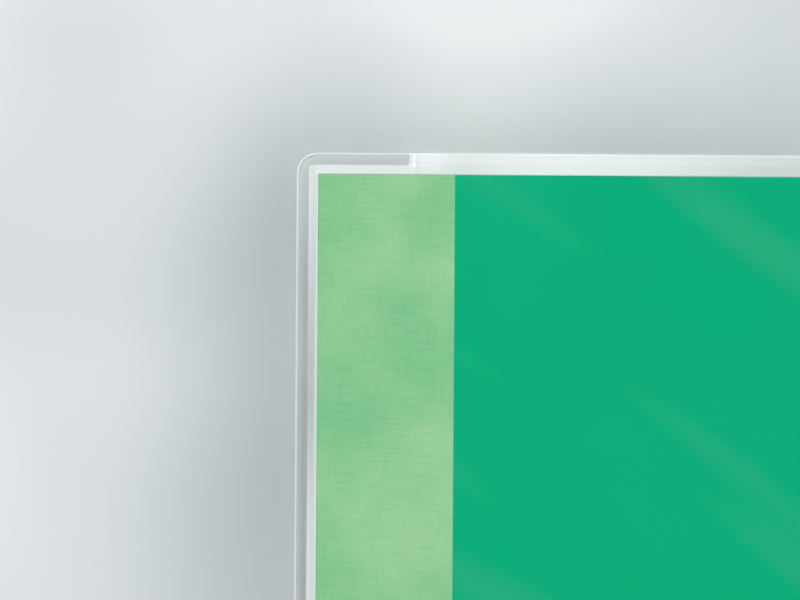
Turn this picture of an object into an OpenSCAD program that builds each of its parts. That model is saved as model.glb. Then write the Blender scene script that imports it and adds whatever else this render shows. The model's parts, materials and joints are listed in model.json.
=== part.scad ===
// Stamp stock album: a hard case covered in cloth and paper, a sewn block of
// black card leaves with clear strips, and a welded clear film jacket.
// It lies closed on its lower cover, with +Z up, the spine at +X and the head
// at +Y. The origin is under the middle of the whole album.

/* [Case] */
// Width of a cover board, from fore-edge to hinge edge
board_w = 158; // [120:1:240]
// Height of a cover board, from tail to head
board_h = 220; // [160:1:320]
// Thickness of the cover boards and the spine board
board_t = 2; // [1.4:0.1:3]
// Thickness of the cloth and the paper that cover the boards
covering_t = 0.4; // [0.2:0.05:0.6]
// Width of the light cloth band along the fore-edge of a cover
band_w = 30; // [15:1:60]
// How far the spine cloth laps onto a cover
joint_lap = 15; // [8:1:30]
// Width of the coverings that are turned in over a board's edges
turn_in = 12; // [8:1:20]
// Width of the groove between a board and the spine board
groove_w = 7; // [5:0.5:12]
// Radius of the rolled cloth edge that a cover turns on
roll_r = 0.5; // [0.3:0.05:0.6]
// Running gap around the rolled cloth edge
roll_gap = 0.3; // [0.2:0.05:0.5]
// Thickness of an endpaper pasted inside a cover
pastedown_t = 0.2; // [0.1:0.05:0.4]
// Turn-in left bare around an endpaper
pastedown_margin = 3; // [2:0.5:6]

/* [Leaves] */
// Number of card leaves
leaf_count = 8; // [2:1:8]
// How far the boards stand out past the leaves
square_w = 3; // [2:0.5:6]
// Thickness of a leaf's card
card_t = 0.5; // [0.3:0.05:0.8]
// Thickness of a clear strip
strip_t = 0.15; // [0.1:0.05:0.25]
// Number of clear strips on a page
strip_count = 6; // [3:1:10]
// Bare card between one strip and the next
strip_gap = 4; // [2:0.5:8]
// Bare card around the strips of a page
strip_margin = 4; // [2:0.5:10]
// Thickness of a leaf's linen hinge
linen_t = 0.15; // [0.1:0.05:0.15]
// Width of linen glued onto a leaf's card
linen_lap = 5; // [3:0.5:10]
// Free linen between the guards and a leaf's card
hinge_reach = 10; // [9:0.5:16]
// Thickness of a glassine interleaf
interleaf_t = 0.1; // [0.1:0.05:0.2]
// How much smaller an interleaf is than a leaf, at each edge
interleaf_inset = 2; // [1:0.5:6]
// Thickness of a loose endpaper
flyleaf_t = 0.2; // [0.15:0.05:0.4]
// Air between a leaf and an interleaf
sheet_gap = 0.15; // [0.1:0.05:0.3]
// Air between the block and an endpaper or a cover
cover_gap = 0.2; // [0.15:0.05:0.5]

/* [Binding] */
// Width of the guards that the leaves are sewn through
guard_w = 4; // [3:0.5:5]
// Thickness of the gauze lining on the back of the block
mull_t = 0.3; // [0.2:0.05:0.5]
// Hollow between the block's lining and the spine
hollow_gap = 0.6; // [0.5:0.1:2]
// Number of sewing holes
hole_count = 7; // [3:1:13]
// Diameter of a sewing hole
hole_d = 1; // [0.8:0.1:1.4]
// Diameter of the sewing thread
thread_d = 0.6; // [0.4:0.05:0.7]
// Distance from the head of the block to the first sewing hole
hole_margin = 17; // [8:1:30]
// Diameter of a headband's core
headband_d = 1.8; // [1.2:0.1:2.4]
// Thickness of a headband's glued tongue
tongue_t = 0.25; // [0.15:0.05:0.4]
// Length of a headband's glued tongue
tongue_h = 8; // [5:1:15]
// Small gap that keeps glued pieces apart
glue_gap = 0.05; // [0.02:0.01:0.1]

/* [Jacket] */
// Thickness of the clear film
film_t = 0.3; // [0.15:0.05:0.4]
// How far the jacket stands out past a covered board
jacket_margin = 4.8; // [3.5:0.1:8]
// Width of the welded seam
weld_w = 2.5; // [1.5:0.1:3]
// Radius of the jacket's outer corners
corner_r = 4.7; // [2.5:0.1:6]
// Width of a flap, from the jacket's outer edge
flap_w = 26.3; // [18:0.1:80]
// Length of film between the end of a weld and the flap's free edge
weld_stop = 1.2; // [1:0.1:4]
// Slit between the sloped film and the flat film past the weld
film_slit = 0.3; // [0.2:0.05:0.6]
// Gap between a flat panel of film and the fold beside it
fold_gap = 0.1; // [0.05:0.05:0.2]

/* [Hidden] */
$fn = 48;
cloth_green = [0.55, 0.79, 0.58];
paper_green = [0.03, 0.69, 0.49];
board_grey = [0.62, 0.60, 0.56];
endpaper_white = [0.93, 0.93, 0.89];
card_black = [0.08, 0.08, 0.09];
linen_black = [0.16, 0.16, 0.17];
gauze_white = [0.90, 0.88, 0.80];
thread_white = [0.95, 0.93, 0.88];
film_clear = [0.85, 0.92, 0.93, 0.35];
glassine_clear = [0.93, 0.93, 0.90, 0.6];

// Levels through a cover, counted inwards from the jacket's outer face
covering_z = film_t;
board_z = covering_z + covering_t;
turn_z = board_z + board_t;
pastedown_z = turn_z + covering_t;
flap_z = pastedown_z + pastedown_t;
cover_t = flap_z + film_t;
weld_z = cover_t / 2;

// Levels of the block, counted up from under the lower cover
leaf_t = card_t + 2 * strip_t;
leaf_pitch = leaf_t + interleaf_t + 2 * sheet_gap;
lower_fly_z = cover_t + cover_gap;
first_leaf_z = lower_fly_z + flyleaf_t + cover_gap;
upper_fly_z = first_leaf_z + (leaf_count - 1) * leaf_pitch + leaf_t + cover_gap;
block_top_z = upper_fly_z + flyleaf_t;
album_t = block_top_z + cover_gap + cover_t;
lower_axis_z = board_z + board_t / 2;
upper_axis_z = album_t - lower_axis_z;
joint_top_z = lower_axis_z + covering_t / 2;
guard_base_z = joint_top_z + mull_t;

// Places across the album, from fore-edge to spine
spine_half = board_t / 2 + covering_t;
spine_out = spine_half + film_t;
album_w = jacket_margin + covering_t + board_w + groove_w + board_t / 2 + spine_out;
jacket_x = -album_w / 2;
covered_x = jacket_x + jacket_margin;
fore_x = covered_x + covering_t;
hinge_x = fore_x + board_w;
axis_x = hinge_x + groove_w + board_t / 2;
mull_back_x = axis_x - spine_half - hollow_gap;
block_back_x = mull_back_x - mull_t;
leaf_axis_x = block_back_x - guard_w;
card_x = leaf_axis_x - hinge_reach;
leaf_x = fore_x + square_w;
weld_end_x = jacket_x + flap_w - weld_stop;
flat_film_x = weld_end_x + film_slit;
flap_x = jacket_x + flap_w;
sewing_x = leaf_axis_x + guard_w / 2;

// Half heights, from the middle to the head
board_y = board_h / 2;
covered_y = board_y + covering_t;
jacket_y = covered_y + jacket_margin;
leaf_y = board_y - square_w;
hole_pitch = 2 * (leaf_y - hole_margin) / (hole_count - 1);
hole_y = [for (i = [0 : hole_count - 1]) hole_margin - leaf_y + i * hole_pitch];
strip_pitch = (2 * (leaf_y - strip_margin) + strip_gap) / strip_count;
thread_low_z = guard_base_z + (hole_d - thread_d) / 2 + thread_d / 2;
thread_top_z = block_top_z + thread_d / 2;

function leaf_z(k) = first_leaf_z + (leaf_count - k) * leaf_pitch;
function card_top_z(k) = leaf_z(k) + strip_t + card_t;
function interleaf_z(k) = leaf_z(k) - sheet_gap - interleaf_t;
function guard_z(k) = k == leaf_count ? lower_fly_z + flyleaf_t : interleaf_z(k) + interleaf_t;
function spacer_top_z(k) = k == 1 ? upper_fly_z : interleaf_z(k - 1);

// A block between two places across the album and two levels, even about the middle of its height
module slab(x0, x1, half_y, z0, z1) {
    translate([x0, -half_y, z0])
        cube([x1 - x0, 2 * half_y, z1 - z0]);
}

// Turns a lower cover's piece over to make the upper cover's
module upper() {
    translate([0, 0, album_t])
        mirror([0, 0, 1])
            children();
}

module board() {
    slab(fore_x, hinge_x, board_y, board_z, turn_z);
}

// Covering between two places on a board: the face, the edges and the turn-ins
module covering(x0, x1, window_x) {
    difference() {
        slab(x0, x1, covered_y, covering_z, pastedown_z);
        board();
        slab(window_x, x1 + covering_t, board_y - turn_in, board_z, pastedown_z + covering_t);
    }
}

module fore_edge_cloth() {
    covering(covered_x, fore_x + band_w, fore_x + turn_in);
}

module paper_side() {
    covering(fore_x + band_w, hinge_x - joint_lap, fore_x + band_w - covering_t);
}

// Spine cloth on a cover: it laps the board, dips into the groove and stops short of the rolled edge
module joint_cloth() {
    covering(hinge_x - joint_lap, hinge_x, hinge_x - joint_lap - covering_t);
    slab(hinge_x, hinge_x + covering_t, covered_y, covering_z, joint_top_z);
    slab(hinge_x, axis_x - roll_r - roll_gap, covered_y, joint_top_z - covering_t, joint_top_z);
}

// Endpaper on the turn-ins, with a filler card between them
module pastedown() {
    slab(fore_x + pastedown_margin, hinge_x, board_y - pastedown_margin, pastedown_z, flap_z);
    slab(fore_x + turn_in, hinge_x, board_y - turn_in, turn_z, pastedown_z);
}

module lower_board() {
    color(board_grey) board();
}

module lower_fore_edge_cloth() {
    color(cloth_green) fore_edge_cloth();
}

module lower_paper_side() {
    color(paper_green) paper_side();
}

module lower_joint_cloth() {
    color(cloth_green) joint_cloth();
}

module lower_pastedown() {
    color(endpaper_white) pastedown();
}

module upper_board() {
    color(board_grey) upper() board();
}

module upper_fore_edge_cloth() {
    color(cloth_green) upper() fore_edge_cloth();
}

module upper_paper_side() {
    color(paper_green) upper() paper_side();
}

module upper_joint_cloth() {
    color(cloth_green) upper() joint_cloth();
}

module upper_pastedown() {
    color(endpaper_white) upper() pastedown();
}

// Stiff board in the spine, short of both rolled edges
module spine_board() {
    color(board_grey)
        slab(axis_x - board_t / 2, axis_x + board_t / 2, board_y,
            lower_axis_z + covering_t + roll_gap, upper_axis_z - covering_t - roll_gap);
}

// Rolled cloth edge on a cover's turning axis, with the web that ties it to the spine
module rolled_edge() {
    translate([axis_x, covered_y, lower_axis_z])
        rotate([90, 0, 0])
            cylinder(r = roll_r, h = 2 * covered_y);
    slab(axis_x, axis_x + spine_half, covered_y, lower_axis_z, lower_axis_z + covering_t);
}

module spine_cloth() {
    color(cloth_green) {
        difference() {
            slab(axis_x - spine_half, axis_x + spine_half, covered_y,
                lower_axis_z + covering_t + roll_gap, upper_axis_z - covering_t - roll_gap);
            slab(axis_x - board_t / 2, axis_x + board_t / 2, board_y, 0, album_t);
            slab(axis_x - 2 * spine_half, axis_x, board_y - turn_in, 0, album_t);
        }
        slab(axis_x + board_t / 2, axis_x + spine_half, covered_y, lower_axis_z, upper_axis_z);
        rolled_edge();
        upper() rolled_edge();
    }
}

// Sewing holes through everything that is caught in the guards
module sewing_holes() {
    for (y = hole_y)
        translate([sewing_x, y, 0])
            cylinder(d = hole_d, h = album_t);
}

module lower_flyleaf() {
    color(endpaper_white)
        difference() {
            slab(leaf_x, block_back_x, leaf_y, lower_fly_z, lower_fly_z + flyleaf_t);
            sewing_holes();
        }
}

module upper_flyleaf() {
    color(endpaper_white)
        slab(leaf_x, card_x, leaf_y, upper_fly_z, upper_fly_z + flyleaf_t);
}

// Card guards and spacers between the leaves' hinges, with a thread groove under the lowest
module guards() {
    color(card_black)
        difference() {
            union() {
                slab(leaf_axis_x, block_back_x, leaf_y, guard_base_z, lower_fly_z);
                for (k = [1 : leaf_count]) {
                    slab(leaf_axis_x, block_back_x, leaf_y, guard_z(k), card_top_z(k));
                    slab(leaf_axis_x, block_back_x, leaf_y, card_top_z(k) + linen_t, spacer_top_z(k));
                }
            }
            sewing_holes();
            slab(sewing_x - hole_d / 2, sewing_x + hole_d / 2, leaf_y - hole_margin + hole_d,
                guard_base_z - hole_d, guard_base_z + hole_d);
        }
}

// Gauze on the back of the block, turned onto the lower joint
module mull() {
    color(gauze_white) {
        slab(block_back_x, mull_back_x, leaf_y, joint_top_z, block_top_z);
        slab(hinge_x + glue_gap, mull_back_x, leaf_y, joint_top_z, guard_base_z);
    }
}

module headband() {
    translate([mull_back_x + tongue_t - headband_d / 2, leaf_y + glue_gap + headband_d / 2, guard_base_z])
        cylinder(d = headband_d, h = block_top_z - guard_base_z);
    translate([mull_back_x, leaf_y - tongue_h, guard_base_z])
        cube([tongue_t, tongue_h + glue_gap + headband_d / 2, block_top_z - guard_base_z]);
}

module headbands() {
    color(cloth_green) {
        headband();
        mirror([0, 1, 0]) headband();
    }
}

// Running stitch: it drops through each hole and crosses to the next above and below in turn
module binding_thread() {
    color(thread_white)
        for (i = [0 : hole_count - 1]) {
            translate([sewing_x, hole_y[i], thread_low_z])
                cylinder(d = thread_d, h = thread_top_z - thread_low_z);
            for (z = [thread_low_z, thread_top_z])
                translate([sewing_x, hole_y[i], z])
                    sphere(d = thread_d);
            if (i > 0)
                translate([sewing_x, hole_y[i], i % 2 == 1 ? thread_top_z : thread_low_z])
                    rotate([90, 0, 0])
                        cylinder(d = thread_d, h = hole_pitch);
        }
}

// Free edges of the interleaves and the upper endpaper, from the sheets to the back of the guards
module sheet_tabs() {
    color(glassine_clear)
        difference() {
            union() {
                slab(card_x, block_back_x, leaf_y, upper_fly_z, block_top_z);
                for (k = [1 : leaf_count - 1])
                    slab(card_x, block_back_x, leaf_y - interleaf_inset,
                        interleaf_z(k), interleaf_z(k) + interleaf_t);
            }
            sewing_holes();
        }
}

module leaf_card(k) {
    color(card_black)
        slab(leaf_x, card_x, leaf_y, leaf_z(k) + strip_t, card_top_z(k));
}

// Clear strips on both pages of a leaf
module leaf_strips(k) {
    color(film_clear)
        for (i = [0 : strip_count - 1])
            for (z = [leaf_z(k), card_top_z(k)])
                translate([leaf_x + strip_margin, strip_margin - leaf_y + i * strip_pitch, z])
                    cube([card_x - linen_lap - leaf_x - 2 * strip_margin, strip_pitch - strip_gap, strip_t]);
}

// Linen from a leaf's card across the free hinge to the top of its guard
module leaf_linen(k) {
    color(linen_black)
        difference() {
            slab(card_x - linen_lap, block_back_x, leaf_y, card_top_z(k), card_top_z(k) + linen_t);
            sewing_holes();
        }
}

module interleaf(k) {
    color(glassine_clear)
        slab(leaf_x + interleaf_inset, card_x, leaf_y - interleaf_inset,
            interleaf_z(k), interleaf_z(k) + interleaf_t);
}

// Space inside a welded end of the jacket: flat over the board and sloped out to the weld
module pocket_space() {
    sheet_edge_z = weld_z - film_t;
    intersection() {
        translate([0, jacket_y, 0])
            rotate([90, 0, 0])
                linear_extrude(2 * jacket_y)
                    polygon([
                        [jacket_x + weld_w, sheet_edge_z],
                        [covered_x, 0],
                        [weld_end_x, 0],
                        [weld_end_x, weld_z],
                        [jacket_x + weld_w, weld_z]
                    ]);
        translate([jacket_x, 0, 0])
            rotate([90, 0, 90])
                linear_extrude(album_w)
                    polygon([
                        [weld_w - jacket_y, sheet_edge_z],
                        [-covered_y, 0],
                        [covered_y, 0],
                        [jacket_y - weld_w, sheet_edge_z],
                        [jacket_y - weld_w, weld_z],
                        [weld_w - jacket_y, weld_z]
                    ]);
    }
}

// Film of a welded end, and flat film from the end of the weld to x1
module film_panel(x1) {
    difference() {
        pocket_space();
        translate([0, 0, film_t]) pocket_space();
    }
    slab(weld_end_x, flat_film_x, covered_y, 0, film_t);
    slab(flat_film_x, x1, jacket_y, 0, film_t);
}

module sheet() {
    film_panel(axis_x - fold_gap);
}

module flap() {
    translate([0, 0, cover_t])
        mirror([0, 0, 1])
            film_panel(flap_x);
}

// Welded seam along the fore-edge and around both corners, with round ends
module weld() {
    translate([0, 0, weld_z - film_t])
        linear_extrude(2 * film_t)
            difference() {
                union() {
                    translate([jacket_x, corner_r - jacket_y])
                        square([weld_w, 2 * (jacket_y - corner_r)]);
                    for (side = [-1, 1]) {
                        translate([jacket_x + corner_r, side * (jacket_y - corner_r)])
                            circle(r = corner_r);
                        translate([jacket_x + corner_r, side * (jacket_y - weld_w / 2) - weld_w / 2])
                            square([weld_end_x - jacket_x - corner_r - weld_w / 2, weld_w]);
                        translate([weld_end_x - weld_w / 2, side * (jacket_y - weld_w / 2)])
                            circle(d = weld_w);
                    }
                }
                translate([jacket_x + weld_w, weld_w - jacket_y])
                    square([album_w, 2 * (jacket_y - weld_w)]);
            }
}

// Quarter-round fold of film about a cover's turning axis
module fold() {
    translate([axis_x, 0, lower_axis_z])
        rotate([-90, 0, 0])
            rotate_extrude(angle = 90)
                translate([spine_half, -jacket_y])
                    square([film_t, 2 * jacket_y]);
}

module jacket_lower_sheet() {
    color(film_clear) sheet();
}

module jacket_lower_flap() {
    color(film_clear) flap();
}

module jacket_lower_weld() {
    color(film_clear) weld();
}

module jacket_lower_fold() {
    color(film_clear) fold();
}

module jacket_upper_sheet() {
    color(film_clear) upper() sheet();
}

module jacket_upper_flap() {
    color(film_clear) upper() flap();
}

module jacket_upper_weld() {
    color(film_clear) upper() weld();
}

module jacket_upper_fold() {
    color(film_clear) upper() fold();
}

module jacket_spine_sheet() {
    color(film_clear)
        slab(axis_x + spine_half, axis_x + spine_out, jacket_y,
            lower_axis_z + fold_gap, upper_axis_z - fold_gap);
}

lower_board();
lower_fore_edge_cloth();
lower_paper_side();
lower_joint_cloth();
lower_pastedown();
upper_board();
upper_fore_edge_cloth();
upper_paper_side();
upper_joint_cloth();
upper_pastedown();
spine_board();
spine_cloth();
lower_flyleaf();
upper_flyleaf();
guards();
mull();
headbands();
binding_thread();
sheet_tabs();
for (k = [1 : leaf_count]) {
    leaf_card(k);
    leaf_strips(k);
    leaf_linen(k);
}
for (k = [1 : leaf_count - 1]) {
    interleaf(k);
}
jacket_lower_sheet();
jacket_lower_flap();
jacket_lower_weld();
jacket_lower_fold();
jacket_upper_sheet();
jacket_upper_flap();
jacket_upper_weld();
jacket_upper_fold();
jacket_spine_sheet();
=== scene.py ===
# %% [markdown]
# # A stamp album in a clear jacket
# The album is a hard case of grey board, covered in light woven cloth along the fore-edge and spine and in
# smooth deep-green paper between them. Inside is a sewn block of black card leaves with clear strips. A
# jacket of clear film with a welded seam goes round the outside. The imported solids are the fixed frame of
# this lesson, and each cell dresses one kind of piece.

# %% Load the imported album
import json

import bmesh
import bpy
import numpy as np
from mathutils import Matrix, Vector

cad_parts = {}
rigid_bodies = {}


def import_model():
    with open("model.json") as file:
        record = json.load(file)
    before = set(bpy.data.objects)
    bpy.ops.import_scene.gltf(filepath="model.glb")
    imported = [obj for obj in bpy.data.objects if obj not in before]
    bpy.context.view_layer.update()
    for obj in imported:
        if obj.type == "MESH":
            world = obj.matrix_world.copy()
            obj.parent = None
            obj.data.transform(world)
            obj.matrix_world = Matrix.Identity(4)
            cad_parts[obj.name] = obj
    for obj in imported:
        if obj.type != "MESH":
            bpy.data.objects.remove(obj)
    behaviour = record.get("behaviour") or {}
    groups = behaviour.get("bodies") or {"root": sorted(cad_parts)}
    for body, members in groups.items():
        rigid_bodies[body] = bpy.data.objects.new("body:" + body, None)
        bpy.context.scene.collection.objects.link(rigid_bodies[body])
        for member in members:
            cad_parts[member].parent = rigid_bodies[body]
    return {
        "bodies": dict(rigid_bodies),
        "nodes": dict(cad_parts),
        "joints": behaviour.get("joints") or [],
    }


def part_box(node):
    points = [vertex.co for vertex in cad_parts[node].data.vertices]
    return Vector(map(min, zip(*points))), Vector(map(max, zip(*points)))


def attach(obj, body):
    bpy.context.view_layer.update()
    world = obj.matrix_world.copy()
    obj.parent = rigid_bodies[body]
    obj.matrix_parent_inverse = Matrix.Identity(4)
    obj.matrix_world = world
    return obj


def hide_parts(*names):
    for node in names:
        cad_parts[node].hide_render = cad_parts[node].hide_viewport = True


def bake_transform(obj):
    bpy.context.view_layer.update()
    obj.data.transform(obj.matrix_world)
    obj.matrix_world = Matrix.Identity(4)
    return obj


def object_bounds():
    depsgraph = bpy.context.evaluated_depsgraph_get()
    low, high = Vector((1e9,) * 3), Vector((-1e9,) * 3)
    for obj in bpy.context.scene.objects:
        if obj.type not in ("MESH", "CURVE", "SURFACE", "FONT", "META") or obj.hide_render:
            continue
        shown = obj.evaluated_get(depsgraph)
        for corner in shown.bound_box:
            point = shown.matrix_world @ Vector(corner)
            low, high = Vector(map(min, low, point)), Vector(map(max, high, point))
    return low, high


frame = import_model()
cad_box = [list(corner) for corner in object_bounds()]
print("CAD box in metres:", cad_box)

# %% [markdown]
# ## Places on the album
# Every size comes from the frame, so a piece made here lands where its solid is. The lower cover is
# described by depth, which counts inwards from the jacket's outer face, and the upper cover is the same
# thing turned over.

# %% Read the places from the frame
MM = 0.001


def corners(node):
    """Lowest and highest corner of a solid, as arrays in metres."""
    low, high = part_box(node)
    return np.array(low), np.array(high)


pivot = {joint["name"]: joint["pos_m"] for joint in frame["joints"]}
album_t = cad_box[1][2]
weld_low, weld_high = corners("jacket_lower_weld")
flap_low, flap_high = corners("jacket_lower_flap")
cloth_low, cloth_high = corners("lower_fore_edge_cloth")
board_low, board_high = corners("lower_board")
jacket_x, jacket_y = weld_low[0], weld_high[1]
covered_x, covered_y = cloth_low[0], cloth_high[1]
film_t = cloth_low[2]
turn_depth = cloth_high[2]
cover_t = flap_high[2]
margin = covered_x - jacket_x
weld_w = flap_low[0] - jacket_x
weld_end_x = weld_high[0]
weld_depth = (weld_low[2] + weld_high[2]) / 2
flap_x = flap_high[0]
band_x = cloth_high[0]
lap_x, hinge_x = corners("lower_paper_side")[1][0], board_high[0]
axis_x, axis_depth = pivot["spine_turn"][0], pivot["spine_turn"][2]
covering_t = board_low[0] - covered_x
print(f"jacket margin {margin / MM:.1f} mm, weld {weld_w / MM:.1f} mm, cover {cover_t / MM:.1f} mm thick")

# %% [markdown]
# ## Surfaces from grids
# A sheet of cloth, paper or film is a surface with two directions, so each piece is a grid of points worked
# out in whole arrays. One function puts grids into a mesh as quads. Rows that meet in a point are merged
# afterwards, which turns those quads into triangles and closes the mitres. A sheet's cut edges are marked
# sharp, so that the shading stays flat right up to them.

# %% Functions that make meshes
MERGE_GAP = 0.0005 * MM


def mix(low, high, share):
    """Straight blend of two values: low plus share times (high - low)."""
    return low + (high - low) * share


def smooth(start, end, value):
    """Eases from 0 at start to 1 at end: with t the share of the way, t squared times (3 - 2t).

    The start may be the larger of the two, and the curve then falls as the value grows.
    """
    t = np.clip((value - start) / (end - start), 0, 1)
    return t * t * (3 - 2 * t)


def spread(stops, counts):
    """Grid lines through the stops, with each stretch between two of them cut into its count of steps."""
    parts = [np.linspace(a, b, n, endpoint=False) for a, b, n in zip(stops[:-1], stops[1:], counts)]
    return np.concatenate(parts + [stops[-1:]])


def oval(angle, power):
    """Superellipse of a power: cosine and sine of the angle, each to 2 / power with its sign kept."""
    ways = np.array([np.cos(angle), np.sin(angle)])
    return np.sign(ways) * np.abs(ways) ** (2 / power)


def run_length(*lines):
    """Distance along a line of points at each point: the running sum of the steps' lengths."""
    steps = np.sqrt(sum(np.diff(line) ** 2 for line in lines))
    return np.concatenate([[0], np.cumsum(steps)])


def points_of(*coordinates):
    """Points from their coordinates, which are spread to one shape and stacked along a last axis."""
    return np.stack(np.broadcast_arrays(*coordinates), axis=-1)


def surface(name, grids, flip=False, ring=False, loop=False, **values):
    """One mesh from grids of points, with a quad for each cell.

    ring joins the last column to the first one, and loop does so for the rows. A value is an array for each
    grid, with one number or one vector for each of its points.
    """
    quads, first = [], 0
    for grid in grids:
        index = first + np.arange(grid.shape[0] * grid.shape[1]).reshape(grid.shape[:2])
        index = np.hstack([index, index[:, :1]]) if ring else index
        index = np.vstack([index, index[:1]]) if loop else index
        cells = np.stack([index[:-1, :-1], index[:-1, 1:], index[1:, 1:], index[1:, :-1]], axis=-1)
        quads.append(cells.reshape(-1, 4))
        first += grid.shape[0] * grid.shape[1]
    quads = np.concatenate(quads)
    mesh = bpy.data.meshes.new(name)
    points = np.concatenate([grid.reshape(-1, 3) for grid in grids])
    mesh.from_pydata(points.tolist(), [], (quads[:, ::-1] if flip else quads).tolist())
    for key, arrays in values.items():
        flat = np.concatenate([np.ravel(a) for a in arrays]).astype(np.float32)
        vector = flat.size == points.size
        layer = mesh.attributes.new(key, "FLOAT_VECTOR" if vector else "FLOAT", "POINT")
        layer.data.foreach_set("vector" if vector else "value", flat)
    shell = bmesh.new()
    shell.from_mesh(mesh)
    bmesh.ops.remove_doubles(shell, verts=shell.verts, dist=MERGE_GAP)
    shell.to_mesh(mesh)
    shell.free()
    mesh.polygons.foreach_set("use_smooth", np.ones(len(mesh.polygons), dtype=bool))
    edge_of_loop = np.zeros(len(mesh.loops), dtype=np.int32)
    mesh.loops.foreach_get("edge_index", edge_of_loop)
    mesh.edges.foreach_set("use_edge_sharp", np.bincount(edge_of_loop, minlength=len(mesh.edges)) == 1)
    made = bpy.data.objects.new(name, mesh)
    bpy.context.scene.collection.objects.link(made)
    return made


def dress(piece, material, thickness=0.0, offset=-1.0):
    """Gives a piece its material and slot, and a sheet its thickness, which grows inwards at offset -1."""
    piece.data.materials.append(material)
    if thickness:
        wall = piece.modifiers.new("thickness", "SOLIDIFY")
        wall.thickness = thickness
        wall.offset = offset
    print(f"{piece.name}: {len(piece.data.polygons)} faces")
    return piece


def placed(x, y, depth, upper):
    """Points of a cover, turned over for the upper one: z is depth, or album_t - depth."""
    return points_of(x, y, album_t - depth if upper else depth)


def side(upper):
    """The word for a cover in the names of its pieces, solids and body."""
    return "upper" if upper else "lower"


def bend_to_spine(piece):
    """Bakes a piece's placement into its mesh."""
    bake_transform(piece)


# %% [markdown]
# ## Materials from nodes
# Colours are written as sRGB hex values, as a paint chart gives them, and turned to linear light once. One
# small function adds a node with its settings and links and returns its output, so each material below
# reads as a list of what it is made of.

# %% Functions that make materials
def linear(colour):
    """sRGB hex to linear: c / 12.92 for dark values, otherwise ((c + 0.055) / 1.055) to the power 2.4."""
    srgb = np.array([int(colour[i : i + 2], 16) for i in (1, 3, 5)]) / 255
    rgb = np.where(srgb <= 0.04045, srgb / 12.92, ((srgb + 0.055) / 1.055) ** 2.4)
    return (*rgb.tolist(), 1.0)


def add(tree, kind, inputs=None, out=0, **settings):
    """Adds a shader node and returns one of its outputs, the first one unless out says another.

    Settings are the node's properties, and inputs gives a socket a value or another node's output.
    """
    made = tree.nodes.new(f"ShaderNode{kind}")
    for key, value in settings.items():
        setattr(made, key, value)
    for socket, value in (inputs or {}).items():
        if isinstance(value, bpy.types.NodeSocket):
            tree.links.new(value, made.inputs[socket])
        else:
            made.inputs[socket].default_value = value
    return made.outputs[out] if made.outputs else None


def mix_colours(tree, share, first, second):
    """Straight blend of two colours: first plus share times (second - first)."""
    return add(tree, "Mix", {0: share, 6: first, 7: second}, out=2, data_type="RGBA")


def blank(name):
    """A new material with an empty node tree."""
    material = bpy.data.materials.new(name)
    material.use_nodes = True
    material.node_tree.nodes.clear()
    return material, material.node_tree


def close(tree, inputs):
    """Ends a tree with the surface shader, which takes these inputs, and the output."""
    add(tree, "OutputMaterial", {"Surface": add(tree, "BsdfPrincipled", inputs)})


# %% [markdown]
# ## Woven cloths
# Book cloth, hinge linen and gauze are plain weaves: each thread goes over one and under the next. The
# product of two sines has that pattern of ups and downs. Spun threads swell into slubs, which the eye sees
# as short streaks along the thread, so two noises are stretched along the two directions. Two wide ones
# give the uneven dye, and the wider one starts where its patches fall about as in the photo. The pattern
# follows the surface over the edges through the attribute called threads, which holds unrolled distances.

# %% Woven materials
def woven(name, shade, light, middle, pitch, weave, slub, mottle, dye, relief, roughness):
    """Plain weave from sin(pi x / pitch) times sin(pi y / pitch), with dark slubs and uneven dye.

    The colour's share of the way from shade to light starts at middle. weave, slub, mottle and dye are what
    each pattern adds to it or takes away, and relief is the bump's height.
    """
    slub_long, slub_wide, mottle_size, dye_size = 6 * MM, 0.6 * MM, 12 * MM, 30 * MM
    weft_from, warp_from, dye_from, ease_range = 0.48, 0.5, 0.35, 0.3
    warp_share, dye_start, sheen = 0.8, 25.4, 0.1
    material, tree = blank(name)
    place = add(tree, "Attribute", out="Vector", attribute_name="threads")
    drift = add(tree, "TexNoise", {"Vector": place, "Scale": 1 / slub_long, "Detail": 1.0}, out="Color")
    bent = add(tree, "VectorMath", {0: drift, 1: (pitch, pitch, 0), 2: place}, operation="MULTIPLY_ADD")
    phase = add(tree, "VectorMath", {0: bent, 1: (np.pi / pitch, np.pi / pitch, 0)}, operation="MULTIPLY")
    waves = add(tree, "VectorMath", {0: phase}, operation="SINE")
    wave_x, wave_y = (add(tree, "SeparateXYZ", {0: waves}, out=axis) for axis in "XY")
    over = add(tree, "Math", {0: wave_x, 1: wave_y}, operation="MULTIPLY")
    total = add(tree, "Math", {0: over, 1: weave, 2: middle}, operation="MULTIPLY_ADD")
    layers = ((slub_long, slub_wide, 0, weft_from, -slub),
              (slub_wide, slub_long, 0, warp_from, -slub * warp_share),
              (mottle_size, mottle_size, 0, dye_from, mottle),
              (dye_size, dye_size, dye_start, dye_from, dye))
    for size_x, size_y, start, low, share in layers:
        drawn = add(tree, "VectorMath", {0: place, 1: (1 / size_x, 1 / size_y, 1), 2: (start, start, 0)},
                    operation="MULTIPLY_ADD")
        noise = add(tree, "TexNoise", {"Vector": drawn, "Scale": 1.0, "Detail": 2.0}, noise_dimensions="2D")
        eased = add(tree, "MapRange", {0: noise, 1: low, 2: low + ease_range})
        total = add(tree, "Math", {0: eased, 1: share, 2: total}, operation="MULTIPLY_ADD")
    colour = mix_colours(tree, total, linear(shade), linear(light))
    bump = add(tree, "Bump", {"Height": total, "Distance": relief, "Strength": 0.6})
    close(tree, {"Base Color": colour, "Roughness": roughness, "Sheen Weight": sheen, "Normal": bump})
    return material


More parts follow.
